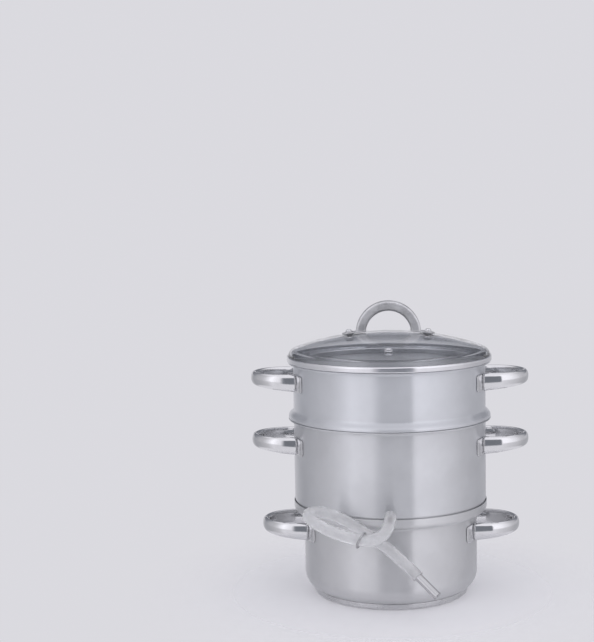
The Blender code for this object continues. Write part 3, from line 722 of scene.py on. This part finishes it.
def cut_mesh(mesh, cutter_mesh, operation="DIFFERENCE"):
    """Combines two closed meshes and gives the result as a new mesh."""
    body, cutter = placed("helper", mesh), placed("helper", cutter_mesh)
    modifier = body.modifiers.new("cut", "BOOLEAN")
    modifier.object = cutter
    modifier.operation = operation
    modifier.solver = "EXACT"
    bpy.context.view_layer.update()
    graph = bpy.context.evaluated_depsgraph_get()
    result = bpy.data.meshes.new_from_object(body.evaluated_get(graph))
    result.set_sharp_from_angle(angle=sharp_angle)
    for helper in (body, cutter):
        bpy.data.objects.remove(helper)
    return result


def rod(radius, length=cutter_length, steps=small_steps):
    """Makes a closed rod along Z, centred on its middle."""
    return turned([(0, length / 2), (radius, length / 2), (radius, -length / 2), (0, -length / 2)], steps)


def spout_outline():
    """Gives the spout's tube and its flange, along Z from the kettle's axis outwards."""
    bore = spout_radius - steel
    flange = kettle_inside * math.cos(cad_wall_half_side) - 2 * seat_gap
    end = kettle_radius + spout_reach
    bead = [(spout_radius + bead_height * math.sin(math.pi * s), end - bead_inset - bead_length * s)
            for s in even(0, 1, 6)]
    return held_line(half_circle((bore, end), (spout_radius, end)) + bead + [
        (spout_radius, flange), (spout_flange, flange), (spout_flange, flange - steel),
        (bore, flange - steel), (bore, end)])


to_front = Matrix.Translation((0, 0, spout_height)) @ Matrix.Rotation(math.radians(90), 4, "X")
spout_hole = moved(rod(spout_radius + seat_gap), to_front @ Matrix.Translation((0, 0, kettle_radius)))
add_piece("kettle_shell", cut_mesh(turned_sheet(kettle_line()), spout_hole),
          "juice_kettle", satin, "kettle_body", "satin_steel")
add_piece("steam_cone_shell", turned_sheet(cone_line()), "juice_kettle", inside_satin, "steam_cone",
          "satin_steel")
add_piece("spout_tube", moved(turned(spout_outline()), to_front), "juice_kettle", polished, "spout")

# %% [markdown]
# ## The fruit basket
#
# The basket's wall flares out over the kettle's rim, turns in again and hangs into the kettle. Its
# floor is perforated: one hole in the middle and rings of 6, 12, 18 and 24 round it. Its steel is
# told where it faces inwards, so that painted bounce light brightens it there, and where its floor is.

# %% The basket
skirt_height, skirt_band, skirt_edge_bend, basket_corner_bend = in_mm(9.5, 2, 0.9, 8)
hole_radius, hole_rings, hole_border = 3 * mm, 4, 18.4 * mm
basket_rim = basket_seat + basket_height
basket_nest_radius = kettle_inside - nest_gap
hole_pitch = (basket_nest_radius - basket_corner_bend - hole_border) / hole_rings


def skirt_line():
    """Flares the wall out to the rim below, along half a cosine wave."""
    top = basket_seat + skirt_band + skirt_height
    flare_out = lip_radius - kettle_radius
    return [(kettle_radius + flare_out * (1 - math.cos(math.pi * s)) / 2, top - skirt_height * s)
            for s in even(0, 1, 16)]


def basket_line():
    edge = arc(lip_radius - skirt_edge_bend, basket_seat + skirt_edge_bend, skirt_edge_bend, 0, -90, 6)
    corner = arc(basket_nest_radius - basket_corner_bend, basket_floor + basket_corner_bend,
                 basket_corner_bend, 0, -90)
    lower = edge + [(basket_nest_radius, basket_seat)] + corner + [(0, basket_floor)]
    return turned_out_rim(basket_rim) + skirt_line() + lower


def basket_inside(look):
    """Gives where the basket faces inwards, for its painted bounce light, and where its floor is."""
    _, x, y, z = look.place()
    radius = (x * x + y * y) ** 0.5
    widening = kettle_radius - basket_nest_radius
    outer = z.between(basket_seat - steel, basket_seat) * widening + basket_nest_radius
    within = (outer - steel / 2 - radius).between(-steel / 4, steel / 4)
    return within, 1 - z.between(basket_floor + 1 * mm, basket_floor + 4 * mm)


def steam_holes():
    """Makes all the cutters of the floor as one mesh."""
    points, faces, single = [], [], rod(hole_radius, steps=24)
    places = [around(0, 0, basket_floor)]
    for ring in range(1, hole_rings + 1):
        places += [around(hole_pitch * ring, t, basket_floor)
                   for t in circle(6 * ring, ring % 2 * math.pi / (6 * ring))]
    for place in map(Vector, places):
        first = len(points)
        points += [tuple(v.co + place) for v in single.vertices]
        faces += [[first + i for i in f.vertices] for f in single.polygons]
    return make_mesh(points, faces)


satin_basket = turned_steel("satin_basket", (0.65, 0.663, 0.69), inside=basket_inside)
add_piece("basket_shell", cut_mesh(turned_sheet(basket_line()), steam_holes()),
          "fruit_basket", satin_basket, "basket_body", "satin_steel")

# %% [markdown]
# ## The side handles
#
# Each handle is a steel strap, bent in a U and polished until it mirrors the room. Its section
# is a rounded oblong that is carried along the U and is higher at the roots. There the last ring is
# pushed onto the round foot plate, so that it follows the wall without any cutting.

# %% Handles
handle_reach, handle_half_width, handle_bend_depth = in_mm(53.3, 38, 42)
handle_thickness, handle_outer_height, handle_root_height = in_mm(9, 16, 22)
handle_roundness = 0.95
plate_thickness, plate_width, plate_height, plate_drop = in_mm(1.5, 34, 21, 0.5)
plate_outward, plate_roundness = 0.10, 0.28


def rounded_section(width, height, roundness, count=40):
    """Gives a rounded oblong: roundness 1 is an ellipse, 0 a rectangle."""
    def stretched(value):
        return math.copysign(abs(value) ** roundness, value) / 2

    return [(width * stretched(math.cos(t)), height * stretched(math.sin(t)))
            for t in circle(count, math.pi / count)]


def handle_places(wall_radius):
    """Gives the middle points of the U and its turn, from the front root round to the back root."""
    outer = wall_radius + handle_reach - handle_thickness / 2
    bend_start = outer - handle_bend_depth
    root = math.sqrt((wall_radius + plate_thickness) ** 2 - handle_half_width ** 2)
    half = [(x, handle_half_width, 0) for x in even(root, bend_start, 8)[:-1]]
    for t in even(0, math.pi / 2, 24):
        out, aside = handle_bend_depth * math.sin(t), handle_half_width * math.cos(t)
        half.append((bend_start + out, aside, math.atan2(out, aside)))
    return [(x, -y, -turn) for x, y, turn in half] + half[-2::-1], root, outer


def handle_mesh(wall_radius):
    places, root, outer = handle_places(wall_radius)
    seat = wall_radius + plate_thickness + 2 * seat_gap
    rings = []
    for index, (x, y, turn) in enumerate(places):
        share = (outer - x) / (outer - root)
        height = handle_outer_height + (handle_root_height - handle_outer_height) * share
        across = Vector((math.sin(turn), math.cos(turn), 0))
        middle = Vector((x, y, -height / 2))
        ring = [middle + across * side + Vector((0, 0, up))
                for side, up in rounded_section(handle_thickness, height, handle_roundness)]
        if index in (0, len(places) - 1):
            ring = [Vector((math.sqrt(seat ** 2 - p.y ** 2), p.y, p.z)) for p in ring]
        rings.append(ring)
    return skinned(rings)


# %% [markdown]
# A foot plate is a small curved pad between an arm and the wall: a rounded oblong, drawn in step by
# step on its way outwards, so that its edge is bevelled and its face very slightly domed.

# %% Foot plates
plate_steps_mm = ((0.3, 0), (0, 0.3), (0, 0.55), (0.3, 0.85), (1, 1.1), (2.2, 1.3), (4, 1.43), (6.5, 1.5),
                  (9, 1.5))


def plate_rings(wall_radius, middle_turn):
    """Gives the rings of a plate, bent round the wall, from its back to its front."""
    inner = wall_radius + seat_gap
    rings = []
    for inset, lift in plate_steps_mm:
        narrow, radius = 2 * inset * mm, inner + lift * mm
        pairs = rounded_section(plate_width - narrow, plate_height - narrow, plate_roundness, 64)
        rings.append([around(radius, middle_turn + side / inner, up - plate_drop - plate_height / 2)
                      for side, up in pairs])
    return rings


def add_handles(tier, body, wall_radius, top):
    """Adds both handles of a tier and their four foot plates."""
    outward = plate_width / wall_radius * plate_outward
    arm_turn = math.asin(handle_half_width / (wall_radius + seat_gap)) + outward
    for side, half_turn, way in (("right", 0, 1), ("left", math.pi, -1)):
        stand = Matrix.Translation((0, 0, top)) @ Matrix.Rotation(half_turn, 4, "Z")
        add_piece(f"{tier}_strap_{side}", moved(handle_mesh(wall_radius), stand),
                  body, polished, f"{tier}_handle_{side}")
        for end, sign in (("front", -1), ("back", 1)):
            plate = moved(skinned(plate_rings(wall_radius, sign * arm_turn * way)), stand)
            add_piece(f"{tier}_foot_{side}_{end}", plate, body, polished, f"{tier}_handle_plate_{side}_{end}")


basket_handle_drop, kettle_handle_drop, pan_handle_drop = in_mm(12.7, 20.7, 6.5)
add_handles("basket", "fruit_basket", kettle_radius, basket_rim - basket_handle_drop)
add_handles("kettle", "juice_kettle", kettle_radius, kettle_rim - kettle_handle_drop)
add_handles("water_pan", "water_pan", pan_radius, ledge_height - neck_bend - pan_handle_drop)

# %% [markdown]
# ## The lid
#
# The lid is a shallow dome of 4 mm tempered glass in a steel band, which it meets in a tight bend.
# The two bolts of the handle and a steam vent go through the glass, so three holes are cut first.
#
# Real glass bends light so much that this bend would show a bright double ring, which the print
# doesn't have. Here the glass hardly bends what is seen through it. A clear coat gives back the
# gloss, and a faint grey absorption the depth.

# %% The glass and its band
band_overhang, band_height, band_lip_width, band_lip_rise = in_mm(1.6, 4.9, 1.7, 2)
band_skirt, band_foot_bend = 6 * mm, 0.7 * mm
glass_thickness, glass_rise, glass_upright = in_mm(4, 28.1, 4.8)
shoulder_bend, glass_bevel, glass_bevel_height = in_mm(10, 0.3, 0.8)
band_radius = lip_radius + band_overhang
band_bottom = basket_rim + seat_gap
band_top = band_bottom + band_height + band_lip_rise
glass_radius = band_radius - band_lip_width - seat_gap
glass_bottom = band_bottom + steel + seat_gap
glass_top = band_top + glass_rise
shoulder_radius = glass_radius - shoulder_bend
shoulder_height = glass_bottom + glass_upright
shoulder_drop = glass_top - shoulder_height
dome_radius = ((shoulder_radius ** 2 + shoulder_drop ** 2 - shoulder_bend ** 2)
               / (2 * (shoulder_drop - shoulder_bend)))
stud_place, vent_place = 49 * mm, glass_radius - 30.7 * mm
seal_sleeve, vent_tube = 3.6 * mm, 3.6 * mm


def dome_height(radius):
    return glass_top - dome_radius + math.sqrt(dome_radius ** 2 - radius ** 2)


def on_dome(place, axis="Y"):
    """Gives the matrix that stands a piece upright on the glass, on the X axis or at the front."""
    tilt = math.asin(place / dome_radius)
    spot = (place, 0, dome_height(place)) if axis == "Y" else (0, -place, dome_height(place))
    return Matrix.Translation(spot) @ Matrix.Rotation(tilt, 4, axis)


def glass_outline():
    tangent = math.acos(shoulder_radius / (dome_radius - shoulder_bend))
    reach = shoulder_radius + shoulder_bend * math.cos(tangent)
    dome = [(radius, dome_height(radius)) for radius in even(0, reach, 24)[:-1]]
    shoulder = arc(shoulder_radius, shoulder_height, shoulder_bend, math.degrees(tangent), 0, 12)
    edge = [(glass_radius, glass_bottom + glass_bevel_height), (glass_radius - glass_bevel, glass_bottom)]
    outer = dome + shoulder + edge
    return outer + inner_line(outer, glass_thickness)[::-1]


def band_line():
    lip_foot = band_bottom + band_height
    lip = [(radius, lip_foot + (height - lip_foot) * band_lip_rise / band_lip_width)
           for radius, height in arc(band_radius - band_lip_width, lip_foot, band_lip_width, 90, 0)]
    foot = arc(band_radius - band_foot_bend, band_bottom + band_foot_bend, band_foot_bend, 0, -90, 4)
    return lip + foot + [(basket_nest_radius, band_bottom),
                         (basket_nest_radius, band_bottom - band_skirt + steel / 2)]


def glass_look(name):
    """Makes glass that hardly bends light: coated, faintly grey, with a little haze from wiping."""
    look = Look(name)
    haze = smudges(look, 30 * mm)
    look.set(Base_Color=look.mix_colors(haze, (0.93, 0.935, 0.945), (0.97, 0.975, 0.98)),
             Roughness=haze.between(0.45, 0.8) * 0.05, IOR=1.06, Transmission_Weight=1, Coat_Weight=0.65)
    grey = {"Color": (0.66, 0.67, 0.69, 1), "Density": 57}
    look.feed_output("Volume", look.node("VolumeAbsorption", None, grey))
    return look.owner


glass_mesh = turned(glass_outline(), turn_steps)
for place, axis, radius in ((stud_place, "Y", seal_sleeve), (-stud_place, "Y", seal_sleeve),
                            (vent_place, "X", vent_tube)):
    glass_mesh = cut_mesh(glass_mesh, moved(rod(radius + seat_gap), on_dome(place, axis)))
add_piece("lid_dome", glass_mesh, "lid", glass_look("tempered_glass"), "lid_glass", "clear_glass")
add_piece("lid_band", turned_sheet(band_line()), "lid", rim_steel, "lid_rim_band")

# %% [markdown]
# ## The arched handle and its bolts
#
# The arch is a thick bow with an almost square, softly rounded section and a brushed, speckled
# surface. Its feet end in flat tabs that lie over the glass on clear seals. A bolt with a washer goes
# through each tab and the glass, and a cap nut holds it inside.

# %% The arch
arch_radius, arch_height, arch_thickness, arch_depth = in_mm(40.8, 38.8, 12.5, 16)
arch_roundness, arch_speckle = 0.42, 0.35
stud_reach, tab_thickness, tab_half_width, tab_overlap = in_mm(8.2, 1.5, 8.5, 1.2)
seal_flange, bolt_radius = 0.8 * mm, 2 * mm
tab_bottom = seat_gap + seal_flange + seat_gap
tab_top = tab_bottom + tab_thickness


def arch_mesh():
    """Skins the bow, whose end sections lie in the planes of the tabs."""
    radius = arch_radius - arch_thickness / 2
    middle = Vector((0, 0, glass_top + arch_height - arch_radius))
    tilt = math.asin(stud_place / dome_radius)
    normal = Vector((math.sin(tilt), 0, math.cos(tilt)))
    point = Vector((stud_place, 0, dome_height(stud_place))) + normal * (tab_bottom + tab_top) / 2
    foot = point.z + (point.x - radius) * math.tan(tilt)
    start = math.asin(min(max(foot - middle.z, 0) / radius, 1))
    pairs = rounded_section(arch_thickness, arch_depth, arch_roundness, 48)
    rings = []
    for turn in even(start, math.pi - start, 56):
        outward = Vector((math.cos(turn), 0, math.sin(turn)))
        rings.append([middle + outward * (radius + across) + Vector((0, depth, 0))
                      for across, depth in pairs])
    for index in (0, -1):
        rings[index] = [Vector((p.x, p.y, point.z + (point.x - abs(p.x)) * math.tan(tilt)))
                        for p in rings[index]]
    return skinned(rings)


def tab_mesh(place):
    """Makes a flat tab with a round end, bevelled on its upper edge."""
    sign = math.copysign(1, place)
    root = -sign * (stud_reach + arch_thickness + tab_overlap)
    end = [(sign * tab_half_width * math.cos(t), tab_half_width * math.sin(t))
           for t in even(-math.pi / 2, math.pi / 2, 24)]
    outline = [(root, -tab_half_width), *end, (root, tab_half_width)]
    middle = sum(x for x, _ in outline) / len(outline)
    rings = []
    for height, shrink in ((tab_bottom, 0.98), (tab_bottom + 0.2 * mm, 1), (tab_top - 0.4 * mm, 1),
                           (tab_top - 0.1 * mm, 0.985), (tab_top, 0.95)):
        rings.append([Vector((middle + (x - middle) * shrink, y * shrink, height)) for x, y in outline])
    return moved(skinned(rings), on_dome(place))


def arch_with_tabs():
    mesh = arch_mesh()
    for place in (stud_place, -stud_place):
        mesh = cut_mesh(mesh, tab_mesh(place), "UNION")
    for place in (stud_place, -stud_place):
        mesh = cut_mesh(mesh, moved(rod(bolt_radius + seat_gap, steps=32), on_dome(place)))
    return mesh


brushed_bow = polished_steel("brushed_bow", (0.70, 0.70, 0.71), 0.46, arch_speckle)
add_piece("lid_arch", arch_with_tabs(), "lid", brushed_bow, "lid_handle_arch")

# %% [markdown]
# The small turned parts are all outlines again, stood on the glass by the same matrix. The bolt has a
# domed head with a cross recess, and the nut is a cap nut. Bolts and washers are plated, and so are
# lighter than the rest of the steel.

# %% Bolts, washers, seals, nuts and the vent
head_radius, head_height, head_dome_share = 3.5 * mm, 2.4 * mm, 0.55
slot_length, slot_width, slot_depth = in_mm(3.4, 0.8, 1)
washer_radius, washer_thickness = 5 * mm, 0.8 * mm
seal_radius, nut_radius, nut_height, nut_wall, crown_share = 6.5 * mm, 5.5 * mm, 5 * mm, 1 * mm, 0.6
under_glass, fine_bevel, bevel = in_mm(0.6, 0.2, 0.3)
vent_bore, vent_flange_radius, vent_flange = in_mm(2.5, 5.5, 0.9)
stud_bore, nut_top = bolt_radius + seat_gap, -glass_thickness - under_glass


def bevelled(*corners):
    """Gives an outline of corners. One with a third value is cut off, so far from it both ways."""
    outline = []
    for i, (radius, height, *cut) in enumerate(corners):
        here = Vector((radius, height))
        near = [Vector(corners[j % len(corners)][:2]) for j in (i - 1, i + 1)]
        outline += [here + (n - here).normalized() * cut[0] for n in near] if cut else [here]
    return outline


def quarter(radius, foot, rise):
    """Gives a quarter ellipse from the axis, at foot + rise, out to its radius, at foot."""
    return [(radius * math.sin(t), foot + rise * math.cos(t)) for t in even(0, math.pi / 2, 10)]


def bolt_mesh():
    head = tab_top + seat_gap + washer_thickness + seat_gap
    end = nut_top - nut_height + nut_wall + seat_gap
    top, rise = head + head_height, head_height * head_dome_share
    mesh = turned(bevelled(*quarter(head_radius, top - rise, rise), (head_radius, head, fine_bevel),
                           (bolt_radius, head), (bolt_radius, end, bevel), (0, end)))
    for long, short in ((slot_length, slot_width), (slot_width, slot_length)):
        corners = [Vector((x * long / 2, y * short / 2, z)) for z in (top - slot_depth, top + slot_depth)
                   for x, y in ((-1, -1), (1, -1), (1, 1), (-1, 1))]
        mesh = cut_mesh(mesh, skinned([corners[:4], corners[4:]]))
    return mesh


def washer_outline():
    low, high = tab_top + seat_gap, tab_top + seat_gap + washer_thickness
    return bevelled((stud_bore, low), (stud_bore, high, fine_bevel),
                    (washer_radius, high, fine_bevel), (washer_radius, low))


def seal_outline():
    top, edge = seat_gap + seal_flange, 0.25 * mm
    return bevelled((stud_bore, -glass_thickness), (stud_bore, top), (seal_radius, top, edge),
                    (seal_radius, seat_gap, edge), (seal_sleeve, seat_gap), (seal_sleeve, -glass_thickness))


def nut_outline():
    end, rise = nut_top - nut_height, nut_height * crown_share
    crown = quarter(nut_radius, end + rise, -rise)
    roof = end + nut_wall
    return bevelled((stud_bore, nut_top), (nut_radius, nut_top, bevel), *crown[::-1], (0, roof),
                    (stud_bore, roof))


def vent_outline():
    top, low, half = seat_gap + vent_flange, nut_top, vent_flange / 2
    rim, foot = (arc(vent_flange_radius - half, middle, half, 90, -90)
                 for middle in (seat_gap + half, low - half))
    return bevelled((vent_bore, top, bevel), *rim, (vent_tube, seat_gap), (vent_tube, low), *foot,
                    (vent_bore, low - vent_flange))


bolt_steel = polished_steel("plated_bolts", (0.86, 0.86, 0.87), 0.25)
for side, place in (("right", stud_place), ("left", -stud_place)):
    small = {"bolt": (bolt_mesh(), bolt_steel), "washer": (turned(washer_outline()), bolt_steel),
             "seal": (turned(seal_outline()), seal_silicone, "seal_silicone"),
             "nut": (turned(nut_outline()), polished)}
    for kind, (mesh, look, *slot) in small.items():
        mesh.transform(on_dome(place))
        add_piece(f"stud_{kind}_{side}", mesh, "lid", look, f"lid_{kind}_{side}", *slot)
add_piece("vent_eyelet", moved(turned(vent_outline()), on_dome(vent_place, "X")), "lid", rim_steel,
          "steam_vent_eyelet")

# %% [markdown]
# ## The room
#
# Steel has no look of its own: it shows the room. The photograph was taken in a light tent, which is
# bright to the left and right of the lens, dark round the lens itself and darker again at the sides.
# Here the world is that tent. One ramp gives the brightness of its panels by the angle from the lens,
# in degrees with the right side positive, and a second ramp that of the table below them. Behind the
# object both are plain, with a dark sheet above that only the lid and the handles catch. Overhead and
# far below, the tent is plain and pale. What is dark is a little bluer than what is bright.

# %% The light tent
bright_tint, shade_tint = (1.0, 0.993, 1.05), (0.97, 1.0, 1.09)
lens_shade, back_shade = (0.25, 0.255, 0.265), (0.24, 0.24, 0.25)
roof_shade, ground_shade = (1.1, 1.1, 1.1), (0.95, 0.95, 0.95)
behind = 0.705
panel_stops = [(-150, 0.66), (-128, 0.46), (-111, 0.55), (-95, 0.63), (-81, 0.68), (-69, 0.86), (-56, 1.22),
               (-46, 1.50), (-36, 1.32), (-24, 1.16), (-12, 1.15), (27, 1.30), (29, 1.42), (45, 1.40),
               (56, 1.30), (67, 1.16), (79, 1.02), (93, 0.80), (108, 0.68), (128, 0.68), (146, 0.55),
               (158, 0.52), (169, 0.60)]
table_stops = [(-128, 0.48), (-95, 0.55), (-60, 0.74), (-46, 0.98), (-30, 0.92), (-16, 0.95), (27, 0.95),
               (30, 0.98), (50, 0.86), (80, 0.74), (108, 0.57), (130, 0.53), (160, 0.54), (169, 0.60)]


def tent():
    """Builds the world from the direction in which it is seen."""
    world = bpy.data.worlds.new("light_tent")
    bpy.context.scene.world = world
    look = Look("light_tent", world)
    _, x, y, z = look.place("Generated")
    turn = look.node("Math", {"operation": "ARCTAN2"}, (x, -y))
    around = [(-180, behind), (-160, behind)], [(171, behind), (180, behind)]
    panels, table = (look.ramp(turn * (180 / math.pi), around[0] + stops + around[1])
                     for stops in (panel_stops, table_stops))
    back = 1 - (-y).between(-0.9, -0.3)
    panels = look.mix_colors(back * z.between(0.13, 0.18), panels, back_shade)
    walls = look.mix_colors(z.between(-0.14, -0.02), table, panels)
    round_lens = turn.between(-0.40, -0.14) * (1 - turn.between(0.475, 0.50))
    lens_height = z.between(-0.25, -0.17) * (1 - z.between(0.40, 0.60))
    walls = look.mix_colors(round_lens * lens_height, walls, lens_shade)
    whole = look.mix_colors(z.between(0.60, 0.88), walls, roof_shade)
    whole = look.mix_colors((-z).between(0.45, 0.65), whole, ground_shade)
    level = look.node("RGBToBW", None, (whole,))
    tint = look.mix_colors(level.between(0.25, 0.70), shade_tint, bright_tint)
    color = look.node("VectorMath", {"operation": "MULTIPLY"}, (whole, tint))
    look.feed(look.tree.nodes["Background"].inputs["Color"], color)


tent()

# %% [markdown]
# The floor is a round pale sheet, half see-through in its middle and more so outwards, so that it
# catches the soft shadow under the pan and no horizon is seen.

# %% The floor
floor_radius, floor_thickness, floor_drop = in_mm(350, 1, 0.1)
fade_start, fade_end = 80 * mm, 340 * mm


def floor_look():
    look = Look("pale_floor")
    _, x, y, _ = look.place()
    look.set(Base_Color=(0.86, 0.857, 0.88, 1), Roughness=0.7, Specular_IOR_Level=0.2)
    fade = ((x * x + y * y) ** 0.5).between(fade_start, fade_end)
    clear, solid = look.node("BsdfTransparent"), Wire(look, look.shader.outputs[0])
    look.feed_output("Surface", look.node("MixShader", None, (fade * 0.5 + 0.5, solid, clear)))
    return look.owner


floor_mesh = turned([(0, 0), (floor_radius, 0), (floor_radius, -floor_thickness), (0, -floor_thickness)], 96)
floor = placed("floor", floor_mesh)
floor.location.z = -floor_drop
floor_mesh.materials.append(floor_look())
